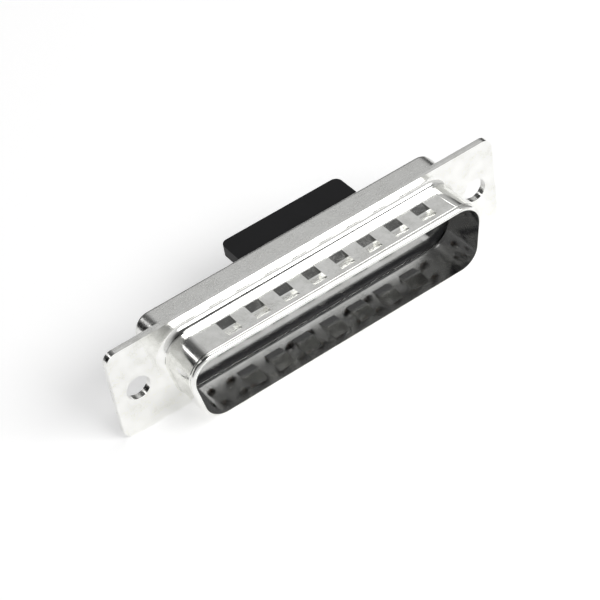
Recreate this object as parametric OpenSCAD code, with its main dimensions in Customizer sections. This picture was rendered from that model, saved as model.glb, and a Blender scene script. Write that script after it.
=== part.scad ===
// Housing of a 25-way D-sub plug for crimp contacts, with its cavities empty.
// X runs along the connector, -Y is the mating side and +Z the wide side of the D.
// The origin lies on the front face of the flanges, midway between the mounting holes.
// Each sub-part is drawn on its back, mating side up, and upright() turns it to face -Y.

/* [Contacts] */
// Contacts in the wide row; the narrow row has one fewer
wide_row = 13; // [5:1:13]
// Distance between neighbouring contacts in a row
contact_pitch = 2.77; // [2.3:0.01:3.5]
// Distance between the two rows
row_pitch = 2.84; // [2.3:0.01:3.5]
// Bore in the front insulator that a contact's pin passes through
pin_bore = 1.3; // [1:0.05:1.6]
// Bore in the rear insulator that a contact enters by
entry_bore = 1.8; // [1.6:0.05:1.9]
// Width of the lead-in round each bore
lead_in = 0.15; // [0.05:0.05:0.2]

/* [D shape] */
// From the wide row's last contact to the inner side of the shroud
end_margin = 2.86; // [2.4:0.01:4]
// From a row to the inner face of the shroud
row_margin = 2.76; // [2.4:0.01:4]
// Lean of the D's sides, in degrees
side_lean = 10; // [5:1:15]
// Corner radius inside the shroud
corner_r = 2.6; // [1.8:0.1:3]

/* [Flanges] */
// Thickness of the sheet steel of both shells
sheet_t = 0.42; // [0.34:0.01:0.52]
// From a mounting hole to the inner side of the shroud
hole_margin = 4.04; // [3.4:0.01:6]
// From a mounting hole to the end of the flange
flange_end = 3; // [2.2:0.05:5]
// From the inner face of the shroud to the long edge of the flange
flange_edge = 2.095; // [1.8:0.005:4]
// Corner radius of the flanges
flange_r = 1.4; // [0.4:0.1:3]
// Diameter of the mounting holes
hole_d = 3.05; // [2.6:0.01:3.4]

/* [Shroud] */
// How far the shroud stands out in front of the flange
shroud_l = 5.9; // [5:0.1:8]
// Inside radius of the bend at the foot of the shroud
bend_r = 0.9; // [0.3:0.05:1.2]
// Radius on the outer edge of the rim
rim_r = 0.38; // [0.1:0.01:0.4]
// Distance from the rim to the middle of the coined groove behind it
groove_back = 0.62; // [0.5:0.01:0.8]
// Radius of the groove's section
groove_r = 0.3; // [0.2:0.05:0.6]
// Depth of the groove
groove_depth = 0.04; // [0.02:0.01:0.08]

/* [Grounding dents] */
// Dents in the wide side
wide_dents = 8; // [1:1:8]
// Dents in the narrow side
narrow_dents = 7; // [1:1:7]
// Distance between neighbouring dents
dent_pitch = 3.81; // [2.6:0.01:4.5]
// Shift of the wide side's dents towards +X
wide_dent_shift = 0.45; // [0:0.05:1]
// Width of a dent
dent_w = 1.85; // [1:0.05:2.2]
// Depth of a dent
dent_depth = 0.5; // [0.2:0.05:0.7]
// From the flange to the start of a dent
dent_start = 1.95; // [1.6:0.05:2.2]
// Length of the steep slope behind its floor
dent_drop_l = 0.95; // [0.5:0.05:1.2]
// Length of its floor
dent_floor_l = 0.3; // [0.1:0.05:0.6]
// Length of the ramp in front of its floor
dent_ramp_l = 1.35; // [0.8:0.05:1.5]
// Steel left round the inside of a dent
dent_skin = 0.3; // [0.15:0.01:0.4]

/* [Rear shell] */
// From the flange's front face to the rear face of the body
rear_l = 4.4; // [4:0.1:8]
// From the shroud's inner outline to the body's inner outline
rear_margin = 0.76; // [0.6:0.01:1.2]
// Corner radius inside the body
rear_corner_r = 1.6; // [1.2:0.1:3]
// Inside radius of the bend between flange and body
rear_bend_r = 0.3; // [0.1:0.05:0.6]
// Inside radius of the bend between body and lip
lip_bend_r = 0.12; // [0.05:0.01:0.15]
// How far the lip reaches in from the body's inner outline
lip_w = 0.6; // [0.3:0.05:0.8]

/* [Insulators] */
// How far the front insulator's face lies behind the flange's front face
face_in = 0.15; // [0.05:0.01:0.3]
// From the flange's front face to the plane where the two insulators meet
split = 2.3; // [1.8:0.1:2.8]
// How far the rear insulator stands out of the rear shell
boss_out = 0.3; // [0:0.05:2]
// Gap round the insulators and the clips
fit_gap = 0.05; // [0.04:0.01:0.1]

/* [Ledge] */
// Width of the ledge that stands out behind
ledge_w = 16.6; // [4:0.1:24]
// Shift of the ledge towards +X
ledge_shift = 2.5; // [0:0.1:6]
// Thickness of the ledge
ledge_t = 1.5; // [0.8:0.05:1.6]
// From the top of the rear insulator's boss down to the ledge
ledge_drop = 0.2; // [0.1:0.05:0.3]
// From the flange's front face to the end of the ledge
ledge_reach = 9.25; // [6:0.05:14]
// Corner radius at the end of the ledge
ledge_r = 0.9; // [0.2:0.1:2]

/* [Retention clips] */
// Outer diameter of a clip
clip_d = 2; // [1.9:0.02:2.1]
// Thickness of a clip
clip_t = 0.12; // [0.08:0.01:0.15]
// Length of a clip
clip_l = 2.3; // [1.8:0.1:2.6]
// Width of the slit along a clip
clip_slit = 0.4; // [0.2:0.05:0.6]
// Thickness of the front insulator ahead of the clips
web = 0.9; // [0.6:0.05:1.2]
// Width of a clip's two tines
tine_w = 0.7; // [0.4:0.05:1]
// Length of the tines
tine_l = 0.8; // [0.4:0.05:1]
// How far the tines lean in
tine_in = 0.18; // [0.1:0.02:0.3]
// From the front end of a clip to the tips of its tines
tine_back = 0.5; // [0.3:0.05:0.8]

/* [Hidden] */
$fn = 48;
hair = 0.001; // keeps two surfaces of one piece from coinciding
lap = 0.05; // how far joined stretches run into each other
tab = 0.3; // how far a bend runs into its flange
graze = 0.005; // how far a rounded edge runs past the face that cuts it off
overturn = 8; // how far a corner turns into the runs, in degrees
lift = 0.5; // how far a cutting shape stands clear of what it cuts

contacts = 2 * wide_row - 1;
front_w = (wide_row - 1) * contact_pitch + 2 * end_margin;
front_h = row_pitch + 2 * row_margin;
front_d = d_centres(front_w, front_h, corner_r);
rear_d = d_centres(front_w + 2 * rear_margin, front_h + 2 * rear_margin, rear_corner_r);

hole_pitch = front_w + 2 * hole_margin;
flange_l = hole_pitch + 2 * flange_end;
flange_h = front_h + 2 * flange_edge;

foot = bend_r + sheet_t; // the shroud's foot flares by this much
rear_foot = rear_bend_r + sheet_t;
lip_edge = lip_bend_r + sheet_t;

// The front insulator's nose fills the flare as far out as the flare's face lets it
nose_out = foot - sqrt(pow(foot, 2) - pow(bend_r + face_in, 2)) - fit_gap;
rear_face = rear_l + boss_out;
boss_r = rear_corner_r - lip_w - fit_gap;
ledge_top = front_h / 2 + rear_margin - lip_w - fit_gap - ledge_drop;
pocket_d = clip_d + 2 * fit_gap;
pocket_top = face_in + web;
pocket_end = pocket_top + clip_l + 2 * fit_gap;

function clip_name(i) = str("clip_", i < 10 ? "0" : "", i);

// Contacts 1 to wide_row lie along the wide side and the rest along the narrow side
function contact_at(i) =
    i <= wide_row
        ? [(i - (wide_row + 1) / 2) * contact_pitch, row_pitch / 2]
        : [(i - wide_row * 3 / 2) * contact_pitch, -row_pitch / 2];

// Centres of a D's corner arcs, anticlockwise from the lower left
function d_centres(w, h, r) =
    let (x = w / 2 - r, y = h / 2 - r, lean = 2 * y * tan(side_lean))
    [[lean - x, -y], [x - lean, -y], [x, y], [-x, y]];

function heading(a, b) = atan2(b.y - a.y, b.x - a.x);

function off(centre, r, angle) = centre + r * [cos(angle), sin(angle)];

module upright() {
    rotate([90, 0, 0]) children();
}

module slab(bottom, top) {
    translate([0, 0, bottom]) linear_extrude(top - bottom) children();
}

module bore(d, bottom, top) {
    translate([0, 0, bottom]) cylinder(d = d, h = top - bottom);
}

module at_contacts() {
    for (i = [1:contacts]) translate(contact_at(i)) children();
}

// The D round the given centres. Its straight sides lie a hair inside the corner arcs.
module d_outline(centres, r) {
    for (centre = centres) translate(centre) circle(r);
    polygon([
        for (i = [0:3])
            let (run = heading(centres[i], centres[(i + 1) % 4]) - 90)
            for (end = [i, i + 1]) off(centres[end % 4], r - hair, run)
    ]);
}

// Carries a section round the D: the section's x runs outwards from the outline, its y along Z.
// The straight runs lie a hair inside the corners, which turn a little further than they need to,
// so that their surfaces cross and are never merely tangent.
module carry_round(centres, r) {
    for (i = [0:3]) {
        here = centres[i];
        next = centres[(i + 1) % 4];
        run_in = heading(centres[(i + 3) % 4], here);
        run_out = heading(here, next);
        run_l = norm(next - here);
        translate(here)
            rotate(run_in - 90 - overturn)
                rotate_extrude(angle = (run_out - run_in + 360) % 360 + 2 * overturn)
                    translate([r, 0])
                        children();
        translate(here)
            rotate(run_out - 90)
                translate([r - hair, run_l, 0])
                    rotate([90, 0, 0])
                        linear_extrude(run_l)
                            children();
    }
}

// A hollow's section carried round the D, with the middle filled
module carry_round_filled(centres, r, bottom, top) {
    carry_round(centres, r) children();
    slab(bottom, top) d_outline(centres, r / 2);
}

// Outer corner region of the bend between a flange below y = 0 and a wall whose outer face is
// x = sheet_t
module bend_outside(r) {
    difference() {
        translate([0, -sheet_t]) square([r + sheet_t, r + sheet_t]);
        translate([r + sheet_t, r]) circle(r);
    }
    translate([0, -sheet_t]) square([r + sheet_t + tab, sheet_t]);
}

// What the bend leaves open towards the inside of the wall, whose inner face is x = 0
module bend_inside(r) {
    difference() {
        translate([0, -sheet_t - lift]) square([r + sheet_t, r + sheet_t + lift]);
        translate([r + sheet_t, r]) circle(r + sheet_t + hair);
    }
}

module quarter(r) {
    intersection() {
        circle(r);
        square(r);
    }
}

// The shroud's outside, solid to some way in. Its end is cut off flat afterwards.
module shroud_outside() {
    rim = min(rim_r, sheet_t - hair);
    depth = 0.4 * corner_r;
    bend_outside(bend_r);
    difference() {
        translate([-depth, -sheet_t]) square([depth + sheet_t, sheet_t + shroud_l - rim + graze]);
        translate([sheet_t + groove_r - groove_depth, shroud_l - groove_back]) circle(groove_r);
    }
    translate([-depth, 0]) square([depth + sheet_t - rim, shroud_l + lift]);
    translate([sheet_t - rim, shroud_l - rim + graze]) quarter(rim);
}

module shroud_inside() {
    reach = 0.8 * corner_r;
    bend_inside(bend_r);
    translate([-reach, -sheet_t - lift]) square([reach, shroud_l + sheet_t + 3 * lift]);
}

// The rear body's outside, solid to some way in. Its end is cut off flat afterwards.
module body_outside() {
    depth = 0.4 * rear_corner_r;
    turn_at = lip_edge - rear_l - graze;
    translate([0, -2 * sheet_t]) mirror([0, 1]) bend_outside(rear_bend_r);
    translate([-depth, turn_at]) square([depth + sheet_t, -turn_at - sheet_t]);
    translate([-depth, -rear_l - lift]) square([depth - lip_bend_r, rear_l + lift - sheet_t]);
    translate([-lip_bend_r, turn_at]) mirror([0, 1]) quarter(lip_edge);
}

module body_inside() {
    reach = 0.8 * rear_corner_r;
    translate([0, -2 * sheet_t]) mirror([0, 1]) bend_inside(rear_bend_r);
    translate([-reach, -rear_l - lift]) square([reach, rear_l + 2 * lift]);
}

// Everything between two heights
module cut_off(bottom, top) {
    slab(bottom, top) square([2 * flange_l, 2 * flange_h], center = true);
}

module flange_outline() {
    x = flange_l / 2 - flange_r;
    y = flange_h / 2 - flange_r;
    square([2 * x, flange_h], center = true);
    square([flange_l, 2 * y], center = true);
    for (corner = [[x, y], [-x, y], [-x, -y], [x, -y]]) translate(corner) circle(flange_r);
}

// A flange with its upper face at the given height, open where the D passes
module flange(top, centres, opening_r) {
    slab(top - sheet_t, top) difference() {
        flange_outline();
        d_outline(centres, opening_r);
        for (side = [-1, 1]) translate([side * hole_pitch / 2, 0]) circle(d = hole_d);
    }
}

// A prism across the shroud: its outline's x runs forwards from the flange, its y outwards
module wedge(w, outline) {
    rotate([0, -90, 0])
        translate([0, 0, -w / 2])
            linear_extrude(w)
                polygon(outline);
}

module dent_hollow() {
    deep = dent_start + dent_drop_l;
    end = deep + dent_floor_l + dent_ramp_l;
    wedge(dent_w, [
        [dent_start, lift],
        [dent_start, 0],
        [deep, -dent_depth],
        [deep + dent_floor_l, -dent_depth],
        [end, 0],
        [end, lift]
    ]);
}

module dent_bump() {
    start = dent_start - dent_skin;
    deep = dent_start + dent_drop_l;
    end = deep + dent_floor_l + dent_ramp_l + dent_skin;
    wedge(dent_w + dent_skin, [
        [start, -sheet_t / 2],
        [start, -sheet_t],
        [deep, -dent_depth - dent_skin],
        [deep + dent_floor_l, -dent_depth - dent_skin],
        [end, -sheet_t],
        [end, -sheet_t / 2]
    ]);
}

module at_dents() {
    outer = front_h / 2 + sheet_t;
    for (i = [1:wide_dents])
        translate([wide_dent_shift + (i - (wide_dents + 1) / 2) * dent_pitch, outer, 0])
            children();
    for (i = [1:narrow_dents])
        translate([(i - (narrow_dents + 1) / 2) * dent_pitch, -outer, 0])
            mirror([0, 1, 0])
                children();
}

module front_shell() {
    color("gainsboro") upright() difference() {
        union() {
            difference() {
                union() {
                    flange(0, front_d, corner_r + foot + tab / 2);
                    carry_round(front_d, corner_r) shroud_outside();
                }
                carry_round_filled(front_d, corner_r, -sheet_t - lift, shroud_l + 2 * lift)
                    shroud_inside();
                cut_off(shroud_l, shroud_l + 3 * lift);
            }
            at_dents() dent_bump();
        }
        at_dents() dent_hollow();
    }
}

module rear_shell() {
    color("lightgray") upright() difference() {
        union() {
            flange(-sheet_t, rear_d, rear_corner_r + rear_foot + tab / 2);
            carry_round(rear_d, rear_corner_r) body_outside();
        }
        intersection() {
            carry_round_filled(rear_d, rear_corner_r, -rear_l - lift, lift) body_inside();
            cut_off(sheet_t - rear_l, 2 * lift);
        }
        slab(-rear_l - lift, 0) d_outline(rear_d, rear_corner_r - lip_w);
        cut_off(-rear_l - 2 * lift, -rear_l);
    }
}

module front_insulator() {
    color("#202124") upright() difference() {
        union() {
            slab(-sheet_t - lap, -face_in) d_outline(front_d, corner_r + nose_out);
            slab(-split, -sheet_t) d_outline(rear_d, rear_corner_r - fit_gap);
        }
        at_contacts() {
            bore(pin_bore, -pocket_top - lift, lift);
            bore(pocket_d, -split - lift, -pocket_top);
            translate([0, 0, -face_in - lead_in])
                cylinder(d1 = pin_bore, d2 = pin_bore + 4 * lead_in, h = 2 * lead_in);
        }
    }
}

module ledge_outline() {
    half = ledge_w / 2;
    translate([-half, ledge_r - ledge_reach]) square([ledge_w, ledge_reach - ledge_r - rear_l]);
    translate([ledge_r - half, -ledge_reach]) square([ledge_w - 2 * ledge_r, ledge_r]);
    for (side = [-1, 1])
        translate([side * (half - ledge_r), ledge_r - ledge_reach]) circle(ledge_r);
}

module ledge() {
    translate([ledge_shift, ledge_top, 0])
        rotate([90, 0, 0])
            linear_extrude(ledge_t)
                ledge_outline();
}

module rear_insulator() {
    color("#26272a") upright() difference() {
        union() {
            slab(sheet_t + fit_gap - rear_l, -split) d_outline(rear_d, rear_corner_r - fit_gap);
            slab(-rear_face, -split - lap) d_outline(rear_d, boss_r);
            ledge();
        }
        at_contacts() {
            bore(pocket_d, -pocket_end, lift - split);
            bore(entry_bore, -rear_face - lift, lift - pocket_end);
            translate([0, 0, -rear_face - lead_in])
                cylinder(d1 = entry_bore + 4 * lead_in, d2 = entry_bore, h = 2 * lead_in);
        }
    }
}

// A rolled sleeve with a slit, and two tines that lean in towards its front end
module clip(i) {
    inner = clip_d / 2 - clip_t;
    color("goldenrod") upright()
        translate([contact_at(i).x, contact_at(i).y, -pocket_top - fit_gap])
            difference() {
                union() {
                    rotate_extrude() translate([inner, -clip_l]) square([clip_t, clip_l]);
                    intersection() {
                        rotate_extrude() translate([inner, -tine_back]) polygon([
                            [-tine_in, 0],
                            [clip_t / 2, -tine_l],
                            [clip_t / 2, -tine_l + clip_t],
                            [clip_t - tine_in, 0]
                        ]);
                        cube([clip_d, tine_w, 2 * clip_l], center = true);
                    }
                }
                translate([-clip_slit / 2, 0, -clip_l - lift])
                    cube([clip_slit, clip_d, clip_l + 2 * lift]);
            }
}

front_shell();
rear_shell();
front_insulator();
rear_insulator();
for (i = [1:contacts]) clip(i);
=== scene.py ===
"""Looks of a 25-way D-sub plug housing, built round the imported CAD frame.

X runs along the connector, -Y out of the mating side, +Z towards the wide side of the D.
"""

import math

import bpy
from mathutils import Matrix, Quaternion, Vector


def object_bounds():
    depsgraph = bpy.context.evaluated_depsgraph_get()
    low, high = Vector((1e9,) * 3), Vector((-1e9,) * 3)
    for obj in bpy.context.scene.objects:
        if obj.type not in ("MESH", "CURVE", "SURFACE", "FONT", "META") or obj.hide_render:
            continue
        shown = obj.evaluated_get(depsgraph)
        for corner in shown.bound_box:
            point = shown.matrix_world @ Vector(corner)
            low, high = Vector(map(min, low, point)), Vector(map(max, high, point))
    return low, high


MM = 0.001

# Camera: the point it aims at, how it is turned and how far back it stands
CAMERA_AIM = Vector((-1.955, 0.023, -1.008)) * MM
CAMERA_AZIMUTH = math.radians(-28.675)
CAMERA_ELEVATION = math.radians(42.335)
CAMERA_ROLL = math.radians(10.232)
CAMERA_DISTANCE = 227.865 * MM
CAMERA_LENS = 121.42
SENSOR_WIDTH = 36.0
NEAREST_SEEN = 1 * MM
FARTHEST_SEEN = 20

# Stage, in metres
FLOOR_HALF_SIZE = 0.45
FLOOR_GLOW = 0.4
SOFTBOX_DISTANCE = 0.5
BACKDROP = (0.93, 0.93, 0.93, 1)

# Two faces that meet at more than this keep a crisp edge
CRISP_ANGLE = math.radians(32)
# Height of the finest marks on metal and plastic
MARK_HEIGHT = 0.004 * MM


# ---------------------------------------------------------------- node helpers

class Graph:
    """A short way to add and link the nodes of one node tree."""

    def __init__(self, tree):
        self.tree = tree
        tree.nodes.clear()

    def node(self, kind, settings=None, **inputs):
        made = self.tree.nodes.new(kind)
        for name, value in (settings or {}).items():
            setattr(made, name, value)
        for name, value in inputs.items():
            self.feed(made, name.replace("_", " "), value)
        return made

    def feed(self, node, socket, value):
        """Sets an input to a value, or links it to another node's output."""
        target = node.inputs[socket]
        if isinstance(value, bpy.types.NodeSocket):
            self.tree.links.new(value, target)
        else:
            target.default_value = value

    def math(self, operation, *values):
        made = self.node("ShaderNodeMath", {"operation": operation})
        for place, value in enumerate(values):
            self.feed(made, place, value)
        return made.outputs[0]

    def between(self, factor, low, high):
        """A value that goes from low to high as the factor goes from 0 to 1."""
        return self.math("MULTIPLY_ADD", factor, high - low, low)

    def ramp(self, factor, *stops):
        """A value that follows (position, value) stops."""
        made = self.node("ShaderNodeValToRGB", Fac=factor)
        elements = made.color_ramp.elements
        while len(elements) < len(stops):
            elements.new(0.5)
        for element, (position, value) in zip(elements, stops):
            element.position = position
            element.color = (value, value, value, 1)
        return made.outputs["Color"]

    def noise(self, place, scale, detail, roughness):
        made = self.node(
            "ShaderNodeTexNoise", Vector=place, Scale=scale, Detail=detail, Roughness=roughness)
        return made.outputs["Fac"]

    def tint(self, factor, first, second):
        """A colour that goes from the first to the second."""
        made = self.node("ShaderNodeMix", {"data_type": "RGBA"})
        self.feed(made, 0, factor)
        self.feed(made, 6, (*first, 1))
        self.feed(made, 7, (*second, 1))
        return made.outputs[2]

    def millimetres(self):
        """The place on the object, in millimetres."""
        place = self.node("ShaderNodeTexCoord").outputs["Object"]
        return self.node(
            "ShaderNodeVectorMath", {"operation": "SCALE"}, Vector=place, Scale=1 / MM).outputs[0]

    def stretched(self, place, factors, turn=0.0):
        """The place with each axis scaled, after a turn about Z in degrees."""
        return self.node(
            "ShaderNodeMapping", Vector=place, Scale=factors, Rotation=(0, 0, math.radians(turn))
        ).outputs[0]

    def relief(self, height, strength):
        return self.node(
            "ShaderNodeBump", Height=height, Strength=strength, Distance=MARK_HEIGHT).outputs[0]


def new_material(name):
    material = bpy.data.materials.new(name)
    material.use_nodes = True
    graph = Graph(material.node_tree)
    shader = graph.node("ShaderNodeBsdfPrincipled")
    graph.node("ShaderNodeOutputMaterial", Surface=shader.outputs[0])
    return material, graph, shader


# ------------------------------------------------------------------- materials

def tinned_steel(name, clean, soiled, polished, dull):
    """Drawn sheet steel with bright tin: cloudy smudges, a fine grain and hairline scratches.

    `clean` and `soiled` are colours, `polished` and `dull` the roughness that goes with them.
    """
    material, graph, shader = new_material(name)
    place = graph.millimetres()
    clouds = graph.ramp(graph.noise(place, 0.55, 5, 0.62), (0.38, 0.0), (0.72, 1.0))
    grain = graph.noise(place, 7.0, 3, 0.6)
    drawn = graph.stretched(place, (0.35, 6.0, 6.0), 4.0)
    scratches = graph.ramp(graph.noise(drawn, 2.2, 2, 0.5), (0.60, 0.0), (0.72, 1.0))
    specks = graph.ramp(grain, (0.35, 0.2), (0.7, 1.0))
    soil = graph.math("MULTIPLY", clouds, specks)
    worn = graph.math("MAXIMUM", soil, graph.math("MULTIPLY", scratches, 0.5))
    graph.feed(shader, "Base Color", graph.tint(soil, clean, soiled))
    graph.feed(shader, "Roughness", graph.between(worn, polished, dull))
    graph.feed(shader, "Metallic", 1.0)
    graph.feed(shader, "Normal", graph.relief(graph.math("MULTIPLY_ADD", scratches, -0.25, grain), 0.35))
    return material


def black_plastic(name, base, smooth, rough, gloss):
    """Black glass-filled moulding: faint flow clouds and a fine eroded skin."""
    material, graph, shader = new_material(name)
    place = graph.millimetres()
    clouds = graph.noise(place, 0.4, 4, 0.55)
    skin = graph.noise(place, 14.0, 2, 0.6)
    darker = [0.75 * c for c in base]
    lighter = [1.3 * c for c in base]
    graph.feed(shader, "Base Color", graph.tint(clouds, darker, lighter))
    graph.feed(shader, "Roughness", graph.between(skin, smooth, rough))
    graph.feed(shader, "Specular IOR Level", gloss)
    graph.feed(shader, "Normal", graph.relief(skin, 0.25))
    return material


def spring_bronze(name):
    """Bare bronze strip, tarnished, with the streaks that rolling leaves."""
    material, graph, shader = new_material(name)
    streaks = graph.noise(graph.stretched(graph.millimetres(), (8.0, 0.8, 8.0)), 1.5, 3, 0.6)
    graph.feed(shader, "Base Color", graph.tint(streaks, (0.22, 0.15, 0.09), (0.36, 0.26, 0.16)))
    graph.feed(shader, "Roughness", graph.between(streaks, 0.2, 0.45))
    graph.feed(shader, "Metallic", 1.0)
    return material


def floor_paper():
    """Pale paper with a faint glow, which keeps the object's shadow soft."""
    material, graph, shader = new_material("floor_paper")
    fibres = graph.noise(graph.millimetres(), 0.8, 4, 0.6)
    graph.feed(shader, "Base Color", graph.tint(fibres, (0.88, 0.88, 0.88), (0.90, 0.90, 0.90)))
    graph.feed(shader, "Roughness", 0.9)
    graph.feed(shader, "Specular IOR Level", 0.1)
    graph.feed(shader, "Emission Color", (1, 1, 1, 1))
    graph.feed(shader, "Emission Strength", FLOOR_GLOW)
    return material


def dress(nodes):
    """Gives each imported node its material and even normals. The clips are bronze."""
    looks = {
        "front_shell": tinned_steel("tin_bright", (0.91, 0.91, 0.89), (0.62, 0.62, 0.58), 0.10, 0.30),
        "rear_shell": tinned_steel("tin_dull", (0.82, 0.82, 0.80), (0.64, 0.64, 0.62), 0.20, 0.42),
        "front_insulator": black_plastic("moulding_front", (0.020, 0.020, 0.022), 0.10, 0.20, 0.9),
        "rear_insulator": black_plastic("moulding_rear", (0.007, 0.007, 0.008), 0.45, 0.6, 0.25),
    }
    bronze = spring_bronze("bronze")
    for name, node in nodes.items():
        node.data.materials.clear()
        node.data.materials.append(looks.get(name, bronze))
        even_normals(node)


def even_normals(node):
    """Smooth shading across bends that leaves flat faces flat."""
    node.data.shade_smooth()
    node.data.set_sharp_from_angle(angle=CRISP_ANGLE)
    weighted = node.modifiers.new("even_normals", "WEIGHTED_NORMAL")
    weighted.mode = "FACE_AREA"
    weighted.weight = 100
    weighted.keep_sharp = True


# ----------------------------------------------------------------------- stage

def add_floor(height):
    s = FLOOR_HALF_SIZE
    mesh = bpy.data.meshes.new("floor")
    corners = [(-s, -s, height), (s, -s, height), (s, s, height), (-s, s, height)]
    mesh.from_pydata(corners, [], [(0, 1, 2, 3)])
    mesh.materials.append(floor_paper())
    floor = bpy.data.objects.new("floor", mesh)
    bpy.context.scene.collection.objects.link(floor)


def add_camera():
    camera = bpy.data.objects.new("camera", bpy.data.cameras.new("camera"))
    camera.data.lens = CAMERA_LENS
    camera.data.sensor_width = SENSOR_WIDTH
    camera.data.clip_start = NEAREST_SEEN
    camera.data.clip_end = FARTHEST_SEEN
    back = Vector((
        math.sin(CAMERA_AZIMUTH) * math.cos(CAMERA_ELEVATION),
        -math.cos(CAMERA_AZIMUTH) * math.cos(CAMERA_ELEVATION),
        math.sin(CAMERA_ELEVATION)))
    level = (-back).to_track_quat("-Z", "Y")
    camera.location = CAMERA_AIM + back * CAMERA_DISTANCE
    camera.rotation_mode = "QUATERNION"
    camera.rotation_quaternion = level @ Quaternion((0, 0, 1), -CAMERA_ROLL)
    bpy.context.scene.collection.objects.link(camera)
    bpy.context.scene.camera = camera


def add_softbox(name, towards, width, depth, radiance):
    """A soft light panel that faces the object and stands in the direction `towards`."""
    data = bpy.data.lights.new(name, "AREA")
    data.shape = "RECTANGLE"
    data.size = width
    data.size_y = depth
    data.energy = radiance * math.pi * width * depth
    light = bpy.data.objects.new(name, data)
    direction = Vector(towards).normalized()
    quarter_turn = Quaternion((0, 0, 1), math.pi / 2)
    light.location = direction * SOFTBOX_DISTANCE
    light.rotation_mode = "QUATERNION"
    light.rotation_quaternion = direction.to_track_quat("Z", "X") @ quarter_turn
    bpy.context.scene.collection.objects.link(light)


def room_light(graph):
    """How bright the room is in each direction: dark low down behind and on the left."""
    way = graph.node("ShaderNodeTexCoord").outputs["Generated"]
    towards = graph.node("ShaderNodeSeparateXYZ", Vector=way).outputs
    rightwards = graph.between(towards["X"], 0.5, 1.0)
    rearwards = graph.between(towards["Y"], 0.5, 1.0)
    ahead = graph.ramp(towards["Z"], (0.0, 0.75), (0.30, 0.70), (0.60, 0.45), (0.90, 0.08))
    behind = graph.math(
        "MULTIPLY",
        graph.ramp(
            towards["Z"],
            (0.0, 0.20), (0.10, 0.05), (0.36, 0.08), (0.52, 0.50), (0.68, 0.62), (0.80, 0.10)),
        graph.ramp(rightwards, (0.36, 0.12), (0.52, 0.35), (0.62, 1.0)))
    mixed = graph.node("ShaderNodeMix", {"data_type": "FLOAT"})
    graph.feed(mixed, 0, graph.ramp(rearwards, (0.42, 0.0), (0.58, 1.0)))
    graph.feed(mixed, 2, ahead)
    graph.feed(mixed, 3, behind)
    return mixed.outputs[0]


def add_room():
    """The room lights the object and shows in its steel, and a plain pale backdrop shows past it."""
    world = bpy.data.worlds.new("studio")
    bpy.context.scene.world = world
    world.use_nodes = True
    graph = Graph(world.node_tree)
    room = graph.node("ShaderNodeBackground", Color=room_light(graph))
    backdrop = graph.node("ShaderNodeBackground", Color=BACKDROP)
    seen = graph.node("ShaderNodeLightPath").outputs["Is Camera Ray"]
    chosen = graph.node("ShaderNodeMixShader", Fac=seen)
    graph.feed(chosen, 1, room.outputs[0])
    graph.feed(chosen, 2, backdrop.outputs[0])
    graph.node("ShaderNodeOutputWorld", Surface=chosen.outputs[0])


def add_softboxes():
    add_softbox("back_top", (0.36, 0.25, 0.88), 0.36, 0.16, 2.4)
    add_softbox("front_right", (0.30, -0.68, 0.66), 0.34, 0.22, 6.0)
    add_softbox("left_strip", (-0.42, 0.65, 0.63), 0.05, 0.20, 2.0)


# ------------------------------------------------------------------------ main

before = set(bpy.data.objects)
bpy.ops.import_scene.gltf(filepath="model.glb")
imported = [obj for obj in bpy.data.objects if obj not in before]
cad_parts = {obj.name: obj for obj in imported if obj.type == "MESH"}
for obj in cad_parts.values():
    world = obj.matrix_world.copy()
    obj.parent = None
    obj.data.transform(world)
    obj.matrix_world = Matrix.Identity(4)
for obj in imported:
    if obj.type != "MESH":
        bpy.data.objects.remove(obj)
cad_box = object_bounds()
dress(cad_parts)
add_floor(cad_box[0].z)
add_camera()
add_room()
add_softboxes()
bpy.context.scene.view_settings.view_transform = "Standard"
